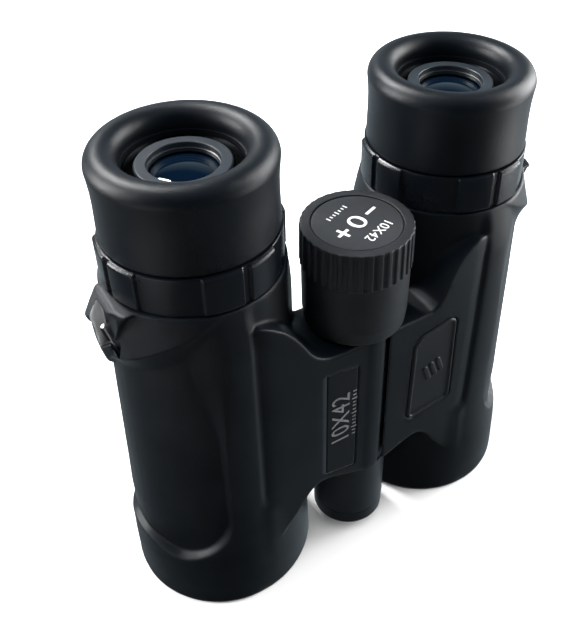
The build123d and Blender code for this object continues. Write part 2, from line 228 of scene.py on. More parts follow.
# ---------------------------------------------------------------- distance-field helpers
def ease(x, start, end):
    """From 0 at start to 1 at end, level at both."""
    t = np.clip((x - start) / (end - start), 0, 1)
    return t * t * (3 - 2 * t)


def soft_min(a, b, blend):
    """Union of two fields with a fillet of about that size."""
    h = np.clip(0.5 + 0.5 * (b - a) / blend, 0, 1)
    return b * (1 - h) + a * h - blend * h * (1 - h)


def soft_max(a, b, blend):
    """Intersection of two fields with a rounded edge of about that size."""
    return -soft_min(-a, -b, blend)


def curve(x, *knots, width=2.0):
    """Piecewise-linear curve through (x, value) knots, rounded off over that width each way."""
    xs, values = zip(*knots)
    offsets = np.linspace(-1, 1, 9)
    weights = np.cos(offsets * math.pi / 2) ** 2 + 1e-3
    total = sum(w * np.interp(x + o * width, xs, values) for o, w in zip(offsets, weights))
    return total / weights.sum()


def polygon_distance(u, v, corners):
    """Signed distance to a convex polygon in its plane, negative inside."""
    middle = np.mean(corners, axis=0)
    best = np.full(np.broadcast(u, v).shape, np.inf)
    inside = np.full(best.shape, -np.inf)
    for a, b in zip(corners, corners[1:] + corners[:1]):
        along = np.array(b, float) - a
        length = np.hypot(*along)
        along = along / length
        reach = np.clip((u - a[0]) * along[0] + (v - a[1]) * along[1], 0, length)
        best = np.minimum(best, np.hypot(u - a[0] - reach * along[0], v - a[1] - reach * along[1]))
        outward = np.array([along[1], -along[0]])
        if np.dot(outward, middle - a) > 0:
            outward = -outward
        inside = np.maximum(inside, (u - a[0]) * outward[0] + (v - a[1]) * outward[1])
    return np.where(inside < 0, inside, best)


def grid_axes(low, high, step):
    """Places of a field's grid planes from one corner to the other, one array for each axis."""
    counts = np.ceil((np.array(high) - low) / step).astype(int)
    return [low[a] + step * np.arange(counts[a]) for a in range(3)]


def field_mesh(name, field, origin, voxel, material, adaptivity, mirror=False):
    """Mesh of a distance field's zero surface, with normals from the field."""
    band = 3 * voxel
    grid = openvdb.FloatGrid(band)
    grid.copyFromArray(np.clip(field, -band, band).astype(np.float32))
    points, triangles, quads = grid.convertToPolygons(isovalue=0.0, adaptivity=adaptivity)
    slope = np.stack([sample(np.gradient(field, axis=axis), points) for axis in range(3)], axis=-1)
    points = points * voxel + np.array(origin)
    normals = slope / np.maximum(np.linalg.norm(slope, axis=-1, keepdims=True), 1e-9)
    if mirror:
        points[:, 0] *= -1
        normals[:, 0] *= -1
    faces = [tuple(f[::-1]) if mirror else tuple(f) for f in triangles.tolist() + quads.tolist()]
    piece = add_mesh(name, points, faces, material)
    piece.data.validate()
    piece.data.normals_split_custom_set_from_vertices(normals.tolist())
    return piece


def sample(values, points):
    """Trilinear values at points given in voxels."""
    low = np.floor(points).astype(int)
    low = np.clip(low, 0, np.array(values.shape) - 2)
    part = points - low
    total = 0
    for corner in range(8):
        step = np.array([corner & 1, corner >> 1 & 1, corner >> 2 & 1])
        weight = np.prod(np.where(step, part, 1 - part), axis=-1)
        index = low + step
        total = total + weight * values[index[:, 0], index[:, 1], index[:, 2]]
    return total


# ---------------------------------------------------------------- materials
def new_material(name):
    material = bpy.data.materials.new(name)
    material.use_nodes = True
    return material, material.node_tree.nodes, material.node_tree.links


def object_coordinates(nodes):
    return nodes.new("ShaderNodeTexCoord").outputs["Object"]


def noise(nodes, links, coordinates, scale, detail=3.0, roughness=0.55):
    node = nodes.new("ShaderNodeTexNoise")
    node.inputs["Scale"].default_value = scale
    node.inputs["Detail"].default_value = detail
    node.inputs["Roughness"].default_value = roughness
    links.new(coordinates, node.inputs["Vector"])
    return node.outputs["Fac"]


def remap(nodes, links, value, low, high, start=0.3, end=0.7):
    node = nodes.new("ShaderNodeMapRange")
    node.inputs["From Min"].default_value = start
    node.inputs["From Max"].default_value = end
    node.inputs["To Min"].default_value = low
    node.inputs["To Max"].default_value = high
    links.new(value, node.inputs["Value"])
    return node.outputs["Result"]


def bump(nodes, links, height, strength, depth):
    node = nodes.new("ShaderNodeBump")
    node.inputs["Strength"].default_value = strength
    node.inputs["Distance"].default_value = depth
    links.new(height, node.inputs["Height"])
    return node.outputs["Normal"]


def mix_colours(nodes, links, factor, first, second):
    """Mix of two colours, of which the first may be another node's output."""
    node = nodes.new("ShaderNodeMix")
    node.data_type = "RGBA"
    if isinstance(first, tuple):
        node.inputs["A"].default_value = (*first, 1)
    else:
        links.new(first, node.inputs["A"])
    node.inputs["B"].default_value = (*second, 1)
    links.new(factor, node.inputs["Factor"])
    return node.outputs["Result"]


WORN_GAIN = 3                # how much paler than its base a worn edge is


def moulded(name, dark, light, rough, grain, depth, wear=0.0, specular=0.5):
    """Moulded rubber or plastic: pitted grain, slow mottling in colour and gloss, and paler worn edges."""
    material, nodes, links = new_material(name)
    shader = nodes["Principled BSDF"]
    where = object_coordinates(nodes)
    mottle = noise(nodes, links, where, 90, 4)
    fine = noise(nodes, links, where, grain, 2, 0.6)
    colour = mix_colours(nodes, links, remap(nodes, links, mottle, 0, 1), dark, light)
    if wear > 0:
        pointy = nodes.new("ShaderNodeNewGeometry").outputs["Pointiness"]
        edges = remap(nodes, links, pointy, 0, wear, 0.52, 0.60)
        colour = mix_colours(nodes, links, edges, colour, tuple(c * WORN_GAIN for c in light))
    links.new(colour, shader.inputs["Base Color"])
    smudges = noise(nodes, links, where, 35, 5, 0.6)
    links.new(remap(nodes, links, smudges, rough - 0.05, rough + 0.06), shader.inputs["Roughness"])
    links.new(bump(nodes, links, fine, 1.0, depth), shader.inputs["Normal"])
    shader.inputs["Specular IOR Level"].default_value = specular
    return material


LATHE_LINES = 4500.0         # radians of the wave per metre of height


def turned_metal(name, colour, rough):
    """Turned or machined metal: fine lathe lines along the height and slight mottling."""
    material, nodes, links = new_material(name)
    shader = nodes["Principled BSDF"]
    where = object_coordinates(nodes)
    lines = nodes.new("ShaderNodeTexWave")
    lines.bands_direction = "Z"
    lines.inputs["Scale"].default_value = LATHE_LINES / 6.28
    lines.inputs["Distortion"].default_value = 1.5
    lines.inputs["Detail"].default_value = 2.0
    links.new(where, lines.inputs["Vector"])
    mottle = noise(nodes, links, where, 300, 4)
    darker = tuple(c * 0.75 for c in colour)
    tint = mix_colours(nodes, links, remap(nodes, links, mottle, 0, 1), darker, colour)
    links.new(tint, shader.inputs["Base Color"])
    links.new(remap(nodes, links, mottle, rough - 0.05, rough + 0.08), shader.inputs["Roughness"])
    links.new(bump(nodes, links, lines.outputs["Fac"], 0.25, 0.00002), shader.inputs["Normal"])
    shader.inputs["Metallic"].default_value = 1.0
    return material


def coated_glass(name, colour, film, clear):
    """Coated lens: a tinted body that is clear in that share, under an interference film that thick in nm."""
    material, nodes, links = new_material(name)
    shader = nodes["Principled BSDF"]
    where = object_coordinates(nodes)
    haze = noise(nodes, links, where, 120, 3)
    links.new(remap(nodes, links, haze, 0.015, 0.04), shader.inputs["Roughness"])
    shade = mix_colours(nodes, links, remap(nodes, links, haze, 0, 1), colour, tuple(c * 1.3 for c in colour))
    links.new(shade, shader.inputs["Base Color"])
    shader.inputs["IOR"].default_value = 1.52
    shader.inputs["Transmission Weight"].default_value = clear
    shader.inputs["Thin Film Thickness"].default_value = film
    shader.inputs["Thin Film IOR"].default_value = 1.38
    shader.inputs["Coat Weight"].default_value = 0.6
    shader.inputs["Coat Roughness"].default_value = 0.02
    return material


ARMOUR = moulded("armour_rubber", (0.0015, 0.0030, 0.0050), (0.0026, 0.0046, 0.0070),
                 rough=0.43, grain=4600, depth=0.00007, wear=0.3, specular=0.30)
CUP_RUBBER = moulded("eyecup_rubber", (0.0014, 0.0028, 0.0048), (0.0024, 0.0042, 0.0066),
                     rough=0.40, grain=5000, depth=0.00005, wear=0.2, specular=0.30)
# painted highlight: pale grey rubber for the front of the lug's bar, standing in for the light that strip
# catches
LIT_BAR_PAINT = moulded("painted_lit_bar", (0.16, 0.165, 0.17), (0.30, 0.305, 0.31),
                     rough=0.55, grain=3500, depth=0.00015, specular=0.3)
BADGE_RUBBER = moulded("badge_rubber", (0.0045, 0.0060, 0.0080), (0.0070, 0.0088, 0.0112),
                       rough=0.46, grain=6000, depth=0.00005, wear=0.4, specular=0.35)
RING_PLASTIC = moulded("ring_plastic", (0.0020, 0.0034, 0.0054), (0.0034, 0.0052, 0.0076),
                       rough=0.27, grain=7000, depth=0.00002, wear=0.3, specular=0.40)
KNOB_PLASTIC = moulded("knob_plastic", (0.0050, 0.0064, 0.0084), (0.0090, 0.0106, 0.0130),
                       rough=0.42, grain=5000, depth=0.00010, wear=0.4, specular=0.35)
CAP_PLASTIC = moulded("knob_cap", (0.0080, 0.0098, 0.0124), (0.0150, 0.0172, 0.0204),
                      rough=0.52, grain=4500, depth=0.00012, wear=0.2, specular=0.35)
PAINT = moulded("housing_paint", (0.0040, 0.0055, 0.0075), (0.0060, 0.0078, 0.0100),
                rough=0.42, grain=4000, depth=0.00003, wear=0.3, specular=0.35)
BLACK_PLASTIC = moulded("black_plastic", (0.0022, 0.0034, 0.0052), (0.0036, 0.0050, 0.0072),
                        rough=0.45, grain=6000, depth=0.00003, specular=0.3)
PRINT = moulded("pale_print", (0.55, 0.56, 0.57), (0.70, 0.71, 0.72),
                rough=0.60, grain=6000, depth=0.00003)
FAINT_PRINT = moulded("faint_print", (0.075, 0.079, 0.085), (0.105, 0.109, 0.116),
                      rough=0.60, grain=6000, depth=0.00003)
BEZEL_METAL = moulded("bezel_metal", (0.011, 0.015, 0.020), (0.016, 0.021, 0.027),
                      rough=0.36, grain=7000, depth=0.00002, wear=0.3, specular=0.5)
BLACK_ALLOY = turned_metal("black_alloy", (0.018, 0.019, 0.021), 0.38)
STEEL = turned_metal("steel", (0.50, 0.50, 0.52), 0.30)
BRASS = turned_metal("brass", (0.60, 0.43, 0.18), 0.30)
WASHER = moulded("washer_plastic", (0.55, 0.54, 0.50), (0.65, 0.64, 0.60),
                 rough=0.40, grain=3000, depth=0.00002)
LENS = coated_glass("lens_glass", (0.001, 0.004, 0.010), film=240, clear=0.02)
OBJECTIVE = coated_glass("objective_glass", (0.060, 0.110, 0.140), film=340, clear=0.45)
PRISM = coated_glass("prism_glass", (0.55, 0.62, 0.65), film=0, clear=0.85)


# ---------------------------------------------------------------- rubber armour
VOXEL = 0.35
GRID_LOW = {"left": np.array([-5.0, -24.6, -0.8]), "right": np.array([2.4, -24.6, -0.8])}
GRID_HIGH = np.array([63.4, 27.4, RING_LOW + 0.4])
BARREL_ARC = 0.4             # length round the barrel of one degree
RECESS_HALF = 29.2           # half length of the grip recess round the barrel
RECESS_CORNER = 16.0
COLLAR_R = 21.35             # the collar before it flares
COLLAR_TOP = 103.8
KNUCKLE_TOP = 79.0
KNUCKLE_LOW = 29.6
KNUCKLE_R = 10.65            # the left half's rubber round the hinge
KNUCKLE_INNER_R = 9.95
KNUCKLE_ARC = 0.19           # length round the knuckle of one degree
KNUCKLE_START, KNUCKLE_END = -73.6, -175
SWING_R = 10.95              # the right half's hollow that turns round it
LUG_BACK = 3.2               # back of the strap lug, from the barrel axis
FACET = (0.94, -0.342)       # direction that the lug's flat side faces
FACET_REACH = 24.1           # its distance from the barrel axis
LOW_EDGE_COSINE = 0.39       # of the slope of the lug's lower edge
BAR_FRONT = 0.0              # front of the lug's bar, from the barrel axis
BAR_REACH = (21.8, 25.9)
BAR_HEIGHT = (87.5, 101.5)
BADGE = [(13.9, 43.9), (24.3, 45.3), (23.7, 72.0), (15.4, 70.3), (14.3, 68.6)]
BADGE_ROUND = 2.1            # corner radius, added all round the outline above
BADGE_GAP = 0.3
PLATE = [(5.3, 34.6), (14.4, 36.0), (14.4, 73.6), (5.3, 72.2)]
PLATE_GAP = 0.1
PANEL_DEPTH = 0.75           # recess that holds the badge or the plate
ARM_SKIN = 1.5               # rubber in front of the arm's metal
RING_GAP = 0.12
FOOT_ROUND = 1.4
ARM_TOP = {
    "left": [(0, 78.9), (10, 79.0), (13.6, 79.3), (15.5, 80.1), (17.0, 81.2), (18.6, 83.1), (20.5, 86.6),
             (22.9, 90.4), (25.3, 93.3), (28.5, 95.8), (31.6, 97.4), (40, 98.0)],
    "right": [(0, 78.9), (12, 79.0), (17.4, 79.4), (19.2, 80.9), (20.5, 83.4), (21.6, 86.6), (22.8, 89.8),
              (24.9, 93.2), (27.5, 95.7), (30.5, 97.1), (33.2, 97.6), (40, 98.0)],
}


def barrel_radius(angle, z):
    """Outside radius of one barrel's rubber; angle in degrees from the outer side, -90 is the front."""
    from_outer = np.abs(angle)
    body = curve(z, (0, 25.35), (8, 25.15), (15, 24.8), (22, 24.25), (30, 23.8), (40, 23.55), (60, 23.45),
                 (80, 23.45), (91, 23.4), (95, 23.05), (99, 22.35), (103.3, 21.4))
    inner = curve(z, (0, 25.35), (10, 25.1), (22, 24.6), (34, 24.2), (40, 22.0), (76, 21.5), (80, 21.3),
                  (104, 21.3))
    inner_share = ease(-angle, 93, 101) * (1 - ease(-angle, 150, 175))
    body = body * (1 - inner_share) + inner * inner_share
    grip = curve(z, (0, 22.3), (28, 22.15), (34, 22.3), (44, 22.05), (58, 21.8), (72, 21.6), (80, 21.4),
                 (88, 21.25), (94, 21.2), (103, 21.3))
    bulge = (1 - ease(from_outer, 8, 55)) * curve(z, (0, 0), (6, 0.1), (12, 0.4), (20, 0.75), (26, 1.6),
                                                  (50, 1.25), (76, 0.85), (104, 0.6))
    body = body + bulge * 0.9
    grip = grip + bulge
    bottom = 19.0 + 3.0 * (1 - ease(from_outer, 5, 38))
    side = from_outer * BARREL_ARC - (RECESS_HALF - RECESS_CORNER)
    down = bottom + RECESS_CORNER - z
    outside = np.hypot(np.maximum(side, 0), np.maximum(down, 0))
    edge = np.minimum(np.maximum(side, down), 0) + outside - RECESS_CORNER
    width = 1.1 + 5.0 * ease(z, 62, 90)
    share = 1 - ease(edge, -width, width * 0.6)
    radius = body * (1 - share) + grip * share
    return add_collar(radius, angle, z)


def add_collar(radius, angle, z):
    """That radius with the flared collar under the ring, whose lower edge sweeps down to the strap lug."""
    from_outer = np.abs(angle)
    lip = curve(from_outer, (-5, 85.4), (0, 86.2), (13, 88.9), (28, 92.0), (37, 93.9), (46.5, 96.0),
                (54, 97.4), (61, 98.8), (70.5, 101.2), (78.5, 103.2), (95, 106.0))
    under = curve(from_outer, (-5, 3.8), (5, 4.0), (19, 4.8), (36, 5.9), (48.5, 6.1), (59, 5.1), (70, 3.7),
                  (78, 2.4))
    flare = curve(from_outer, (-4, 2.9), (8, 2.9), (20, 3.3), (28, 3.4), (45, 2.15), (61, 1.3), (75, 0.5),
                  (88, 0.0), (180, 0.0))
    flare = flare * (1 - ease(angle, 6, 22))
    rise = np.clip((z - (lip - under)) / under, 0, 1)
    rise = rise * (0.35 + 0.65 * rise)
    fall = np.clip((COLLAR_TOP - z) / np.maximum(COLLAR_TOP - lip, 0.6), 0, 1)
    return radius + np.maximum(COLLAR_R + flare - radius, 0) * rise * fall


def radius_on_grid(angle, z):
    """barrel_radius for every column of the grid, and the cosine of the wall's slope there."""
    per_degree = 4
    table_angle = np.linspace(-180, 180, 360 * per_degree + 1)
    table = barrel_radius(table_angle[:, None], z[None, :])
    place = (angle + 180) * per_degree
    low = np.clip(np.floor(place).astype(int), 0, 360 * per_degree - 1)
    part = (place - low)[..., None]
    radius = table[low] * (1 - part) + table[low + 1] * part
    slope = np.gradient(table, z, axis=1)
    tilt = 1 / np.sqrt(1 + np.clip(slope, -4, 4) ** 2)
    tilt = tilt[low] * (1 - part) + tilt[low + 1] * part
    return radius, tilt


def arm_field(x, y, z, side):
    """Front cover of one bridge arm, rising in a sweep on to its barrel."""
    top_line = curve(x, *ARM_TOP[side], width=0.9)
    bottom_line = curve(x, (0, 28.6), (6.2, 30.6), (9.7, 32.0), (13.5, 33.4), (16.1, 33.6), (18.9, 32.0),
                        (21.3, 28.5), (23.8, 24.5), (26.3, 21.5), (29.3, 19.4), (36, 16.0), width=1.2)
    top_slope = np.gradient(top_line[:, 0, 0], x[:, 0, 0])[:, None, None]
    bottom_slope = np.gradient(bottom_line[:, 0, 0], x[:, 0, 0])[:, None, None]
    top = (z - top_line) / np.sqrt(1 + np.minimum(top_slope ** 2, 8))
    bottom = (bottom_line - z) / np.sqrt(1 + np.minimum(bottom_slope ** 2, 8))
    front = (ARM_FRONT - y) + 0 * z
    back = np.where(z < 80, y - (BARREL_Y - 4.0), y - (BARREL_Y - 9.0))
    outer = x - (BARREL_X + 1.0)
    body = soft_max(soft_max(top, bottom, 1.0), front, 0.7)
    return soft_max(np.maximum(body, back), outer, 8.0)


def armour_field(side):
    """Distance field of one half's rubber, in the right half's coordinates."""
    x, y, z = grid_axes(GRID_LOW[side], GRID_HIGH, VOXEL)
    gx, gy = x[:, None, None], y[None, :, None]
    gz = z[None, None, :]
    flat_x, flat_y = gx[:, :, 0] - BARREL_X, gy[:, :, 0] - BARREL_Y
    reach = np.hypot(flat_x, flat_y)
    radius, tilt = radius_on_grid(np.degrees(np.arctan2(flat_y, flat_x)), z)
    sleeve = (reach[..., None] - radius) * tilt
    field = soft_min(sleeve, arm_field(gx, gy, gz, side), 0.8)
    beside = (gx - BARREL_X, gy - BARREL_Y, gz)
    field = np.where(gx > BARREL_X + 15, soft_min(field, lug_field(*beside), 0.5), field)
    field = np.maximum(field, -strap_opening(*beside))
    from_hinge = np.hypot(gx - HINGE[0], gy - HINGE[1])
    if side == "right":
        field = soft_max(field, SWING_R - from_hinge, 0.35)
    else:
        field = np.maximum(np.maximum(field, KNUCKLE_R - from_hinge), -gx)
        field = soft_min(field, knuckle_field(gx, gy, gz, from_hinge), 0.5)
    field = soft_max(field, gz - (RING_LOW - RING_GAP), 0.5)
    field = soft_max(field, -gz, FOOT_ROUND)
    field = np.maximum(field, -metal_field(gx, gy, gz, reach[..., None]))
    return np.maximum(field, -panel_field(gx, gy, gz, side))


def metal_field(x, y, z, reach):
    """What the rubber leaves free for the metal: the barrel's bore and the core of the bridge arm."""
    bore = reach - curve(z, (0, 23.2), (17.6, 23.2), (21.1, 20.2), (110, 20.2), width=0.3)
    across = np.maximum(ARM_FRONT + ARM_SKIN - y, x - (BARREL_X - 9.0))
    core = np.maximum(across, np.maximum(34.0 - z, z - 77.9))
    core = np.maximum(core, y - (HINGE[1] + 10.2))
    return np.minimum(bore, core)


def knuckle_field(x, y, z, from_hinge):
    """Rubber over the front of the left half's knuckle, ending in a crisp edge at the seam."""
    angle = np.degrees(np.arctan2(y - HINGE[1], -(x - HINGE[0])))
    shell = np.maximum(from_hinge - KNUCKLE_R, KNUCKLE_INNER_R - from_hinge)
    ends = np.maximum(z - (KNUCKLE_TOP - 0.1), KNUCKLE_LOW + 0.1 - z)
    start = (angle - KNUCKLE_START) * KNUCKLE_ARC
    finish = (KNUCKLE_END - angle) * KNUCKLE_ARC
    return soft_max(soft_max(shell, ends, 0.5), np.maximum(start, finish), 0.5)


def lug_field(x, y, z):
    """Strap lug on the outer side, about the barrel axis: a flat facet over a hooded bar."""
    reach = curve(z, (76, 20.0), (79, 22.3), (80.1, 22.8), (82, 23.6), (84.8, 24.4), (88.9, 25.0),
                  (92.7, 25.2), (95.4, 25.3), (95.9, 26.2), (96.8, 26.2), (99.6, 24.8), (102.5, 23.2),
                  (104, 22.3), width=0.5)
    facet = x * FACET[0] + y * FACET[1] - FACET_REACH
    low_edge = curve(y, (-12, 104), (-9.8, 101.8), (-5, 90.1), (-4, 87.8), (0, 82.5), (3, 79), (9, 76),
                     width=0.5)
    body = np.maximum(x - reach, facet) + 0 * (y + z)
    body = soft_max(body, y - LUG_BACK, 0.8)
    body = soft_max(body, (low_edge - z) * LOW_EDGE_COSINE + 0 * x, 0.5)
    return np.maximum(body, np.abs(x - 22) - 6)


def strap_opening(x, y, z):
    """Slot behind the lug's bar for a flat strap, and the window in front of it."""
    inner = curve(z, (84, 22.0), (88, 22.1), (89.3, 22.9), (91.6, 23.6), (94.4, 24.0), (98, 24.3),
                  (102, 24.4), width=0.7)
    slot = soft_max(np.maximum(x - inner, 21.9 - x), np.abs(z - 91.2) - 2.9, 0.8)
    slot = soft_max(slot, np.abs(y - 2) - 10, 0.3)
    floor = 88.0 + np.maximum(-y, 0) * 0.9 + np.maximum(-5.3 - y, 0) * 1.1
    window = np.maximum(np.maximum(y - BAR_FRONT, 22.5 - x), np.maximum(z - 101.6, floor - z))
    return np.minimum(slot, soft_max(window, -9.0 - y, 0.6))


def panel_field(x, y, z, side):
    """Recess cut in the arm's front for the badge on the right or the scale plate on the left."""
    outline, margin = (BADGE, BADGE_ROUND + BADGE_GAP) if side == "right" else (PLATE, PLATE_GAP)
    inside = polygon_distance(x, z, outline) - margin
    return np.maximum(inside, (y - (ARM_FRONT + PANEL_DEPTH)) + 0 * z)


def paint_bar_highlight(piece):
    """The front of the lug's bar gets a paler material, a painted highlight standing in for the light that
    this strip catches.
    """
    mesh = piece.data
    mesh.materials.append(LIT_BAR_PAINT)
    for face in mesh.polygons:
        x, y, z = face.center / MM
        on_front = abs(y - BARREL_Y - BAR_FRONT) < VOXEL and face.normal.y < -0.6
        in_reach = BAR_REACH[0] < abs(x) - BARREL_X < BAR_REACH[1] and BAR_HEIGHT[0] < z < BAR_HEIGHT[1]
        if on_front and in_reach:
            face.material_index = 1


def build_armour(side):
    """One half's armour with its grip, arm cover, strap lug and objective bumper, in one moulded piece."""
    name, field = side + "_armour", armour_field(side)
    piece = field_mesh(name, field, GRID_LOW[side], VOXEL, ARMOUR, adaptivity=0.02, mirror=side == "left")
    # pale painted highlight on the front of the lug's bar
    paint_bar_highlight(piece)
    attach(piece, side + "_half")
    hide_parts(side + "_rubber_armour", side + "_objective_bumper")


# ---------------------------------------------------------------- badge and scale plate
PANEL_FACE = 0.05            # how far the badge and the plate lie behind the arm's front
BEAD_INSET, BEAD_HEIGHT = 0.55, 0.40
RIB_PLACE = (19.4, 58.0)     # middle of the badge's three ribs
RIB_ACROSS = (0.94, 0.34)    # direction across the ribs, which lean
RIB_PITCH = 2.2
RIB_HALF = 2.2               # half length, without the round ends
RIB_HEIGHT = 0.35


def build_badge():
    """Raised panel on the right arm with a beaded border and three slanted grip ribs."""
    step = 0.14
    low = np.array([10.6, ARM_FRONT - 0.7, 40.6])
    x, y, z = grid_axes(low, (27.6, ARM_FRONT + 0.9, 75.4), step)
    edge = polygon_distance(x[:, None], z[None, :], BADGE) - BADGE_ROUND
    bead = 1 - ease(np.abs(edge + BEAD_INSET), 0.15, 0.65)
    u, v = x[:, None] - RIB_PLACE[0], z[None, :] - RIB_PLACE[1]
    across = u * RIB_ACROSS[0] + v * RIB_ACROSS[1]
    along = v * RIB_ACROSS[0] - u * RIB_ACROSS[1]
    past_end = np.maximum(np.abs(along) - RIB_HALF, 0)
    ribs = sum(1 - ease(np.hypot(across - offset, past_end), 0.45, 0.95)
               for offset in (-RIB_PITCH, 0, RIB_PITCH))
    front = ARM_FRONT + PANEL_FACE - BEAD_HEIGHT * bead - RIB_HEIGHT * np.clip(ribs, 0, 1)
    depth = front[:, None, :] - y[None, :, None]
    field = soft_max(depth, edge[:, None, :] + 0 * depth, 0.25)
    field = soft_max(field, y[None, :, None] - (ARM_FRONT + PANEL_DEPTH - 0.05), 0.1)
    piece = field_mesh("grip_panel", field, low, step, BADGE_RUBBER, adaptivity=0.01)
    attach(piece, "right_half")
    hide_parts("grip_badge")


def build_plate():
    """Plate let into the left arm, with the size figures and a tick scale printed up it."""
    step = 0.2
    low = np.array([-15.4, ARM_FRONT - 0.6, 33.4])
    x, y, z = grid_axes(low, (-4.4, ARM_FRONT + 1.2, 74.8), step)
    edge = polygon_distance(-x[:, None], z[None, :], PLATE)
    depth = (ARM_FRONT + PANEL_FACE - y)[None, :, None] + 0 * edge[:, None, :]
    field = soft_max(depth, edge[:, None, :] + 0 * depth, 0.2)
    field = soft_max(field, y[None, :, None] - (ARM_FRONT + PANEL_DEPTH), 0.1)
    piece = field_mesh("printed_plate", field, low, step, BLACK_PLASTIC, adaptivity=0.01)
    marks = [lettering("10X42", 17.0, 5.4, (0, 0.9))]
    marks += [bar(0.4, 1.6 if index % 4 == 0 else 1.0, (index * 1.35, -3.3)) for index in range(-6, 7)]
    add_marks(piece, marks, FAINT_PRINT, (-9.4, ARM_FRONT + PANEL_FACE, 55.8), (0, 0, 1), (-1, 0, 0))
    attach(piece, "left_half")
    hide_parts("scale_plate")


# ---------------------------------------------------------------- eyecups, rings and bezels
CUP_WAIST = [(110, 20.25), (117, 20.15), (122, 20.0), (126, 20.05), (129, 20.35), (132, 20.6)]
CUP_RIM_R, CUP_RIM_ROUND = 16.95, 3.55       # the rolled rim is half a ring of that radius and roundness
CUP_RIM_Z = CUP_HIGH - CUP_RIM_ROUND
CUP_HOLE_R = 13.4
CUP_BORE_R = 17.2
CUP_SHOULDER_Z = 129.25      # where the bore narrows to the hole in the rim


def build_eyecup(side):
    """Rubber eyecup: waisted outside, rolled rim, and a bore that fits over the hard core."""
    levels = np.arange(CUP_LOW + 1.0, CUP_RIM_Z - 0.25, 0.5)
    waist = [(float(curve(z, *CUP_WAIST, width=4.0)), float(z)) for z in levels]
    turns = [math.radians(degrees) for degrees in range(0, 181, 6)]
    rim = [(CUP_RIM_R + CUP_RIM_ROUND * math.cos(turn), CUP_RIM_Z + CUP_RIM_ROUND * math.sin(turn))
           for turn in turns]
    corners = [(CUP_HOLE_R, CUP_SHOULDER_Z, 0.1), (CUP_BORE_R, CUP_SHOULDER_Z, 0.2),
               (CUP_BORE_R, CUP_LOW, 0.1), (20.15, CUP_LOW, 0.25), (20.2, CUP_LOW + 0.6, 0)]
    outline = dense(rim + rounded(corners) + waist, 0.6)
    piece = lathe(side + "_eyecup", outline, BARREL[side], CUP_RUBBER, steps=256, sharp=50)
    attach(piece, side + "_eyecup")
    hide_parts(side + "_eyecup_rubber")


RING_R, RING_BORE_R = 20.55, 17.6
RING_RISE = 0.2              # the ring stands that far above its CAD node
PAD_START = {"left": -108.9, "right": -118.9}     # degrees
PAD_WIDTHS = (24.6, 21.5)
PAD_GAP = 4.6
PAD_EDGE = 0.7               # half width of a pad's sloping side
PAD_HEIGHT = 0.78


def ring_push(side):
    """Extra radius of the raised pads, four pairs round the ring."""
    def push(angles, r, z):
        if r < RING_R - 1.05:
            return 0 * angles
        degrees = np.degrees(angles)
        raised = 0 * degrees
        for group in range(4):
            start = PAD_START[side] + 90 * group
            for width in PAD_WIDTHS:
                offset = (degrees - start - width / 2 + 180) % 360 - 180
                pad = 1 - ease(np.abs(offset), width / 2 - PAD_EDGE, width / 2 + PAD_EDGE)
                raised = np.maximum(raised, pad)
                start += width + PAD_GAP
        foot = ease(z, RING_LOW + 0.1, RING_LOW + 0.4)
        head = 1 - 0.7 * ease(z, RING_HIGH - 0.2, RING_HIGH + 0.15)
        return raised * foot * head * PAD_HEIGHT
    return push


def build_ring(side):
    """Padded collar under the eyecup: it turns on the left barrel and is fixed on the right one."""
    node = "diopter_ring" if side == "left" else "right_eyepiece_ring"
    top = RING_HIGH + RING_RISE
    corners = [(RING_BORE_R, RING_LOW, 0.1), (RING_R, RING_LOW, 0.2), (RING_R, top, 0.25),
               (RING_BORE_R, top, 0.1)]
    outline = dense(rounded(corners), 0.4)
    piece = lathe(node + "_visual", outline, BARREL[side], RING_PLASTIC, steps=720, sharp=60,
                  push=ring_push(side))
    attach(piece, "diopter_ring" if side == "left" else "right_half")
    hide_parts(node)


def build_bezel(side):
    """Ring round the eye lens, with a step down to the glass."""
    top = heights(side + "_eye_lens_bezel")[1]
    corners = [(7.55, top - 2.2, 0), (7.55, top - 1.35, 0.1), (7.85, top - 1.25, 0.1), (7.85, top - 0.15, 0.1),
               (8.0, top, 0.1), (10.2, top, 0.2), (10.48, top - 0.35, 0.1), (10.48, top - 2.3, 0),
               (8.6, top - 2.3, 0)]
    outline = dense(rounded(corners, 4), 0.5)
    piece = lathe(side + "_bezel", outline, BARREL[side], BEZEL_METAL, steps=192, sharp=40)
    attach(piece, side + "_half")
    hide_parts(side + "_eye_lens_bezel")


EYE_LENS_R, EYE_LENS_LOW, EYE_LENS_HIGH = 9.5, 121.4, 125.6       # edge of the lens; its faces bulge beyond
MIDDLE_LENS_R, MIDDLE_LENS_LOW, MIDDLE_LENS_HIGH = 11.0, 112.4, 118.6
LENS_POLE_R = 0.01           # the faces' innermost circle


def lens_face(radius, edge, bulge):
    """Profile of a domed lens face from its edge to the axis."""
    radii = np.linspace(radius, LENS_POLE_R, 20)
    return [(float(r), float(edge + bulge * (1 - (r / radius) ** 2))) for r in radii]


def build_lenses(side):
    """Eye lens and the middle lens below it, with strongly domed faces."""
    outline = lens_face(EYE_LENS_R, EYE_LENS_HIGH, 2.3) + lens_face(EYE_LENS_R, EYE_LENS_LOW, -0.9)[::-1]
    piece = lathe(side + "_eye_lens", outline, BARREL[side], LENS, steps=128, sharp=50)
    outline = lens_face(MIDDLE_LENS_R, MIDDLE_LENS_HIGH, 1.6)
    outline += [(LENS_POLE_R, MIDDLE_LENS_LOW), (MIDDLE_LENS_R, MIDDLE_LENS_LOW + 0.6)]
    second = lathe("second", outline, BARREL[side], LENS, steps=128, sharp=50)
    with bpy.context.temp_override(active_object=piece, selected_editable_objects=[piece, second]):
        bpy.ops.object.join()
    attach(piece, side + "_half")
    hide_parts(side + "_eyepiece_lenses")


RIDGE_COUNT = 4
RIDGE_PITCH = 0.5
RIDGE_DEPTH = 0.45
TUBE_SHOULDER_Z = 126.5      # where the tube steps in to its top


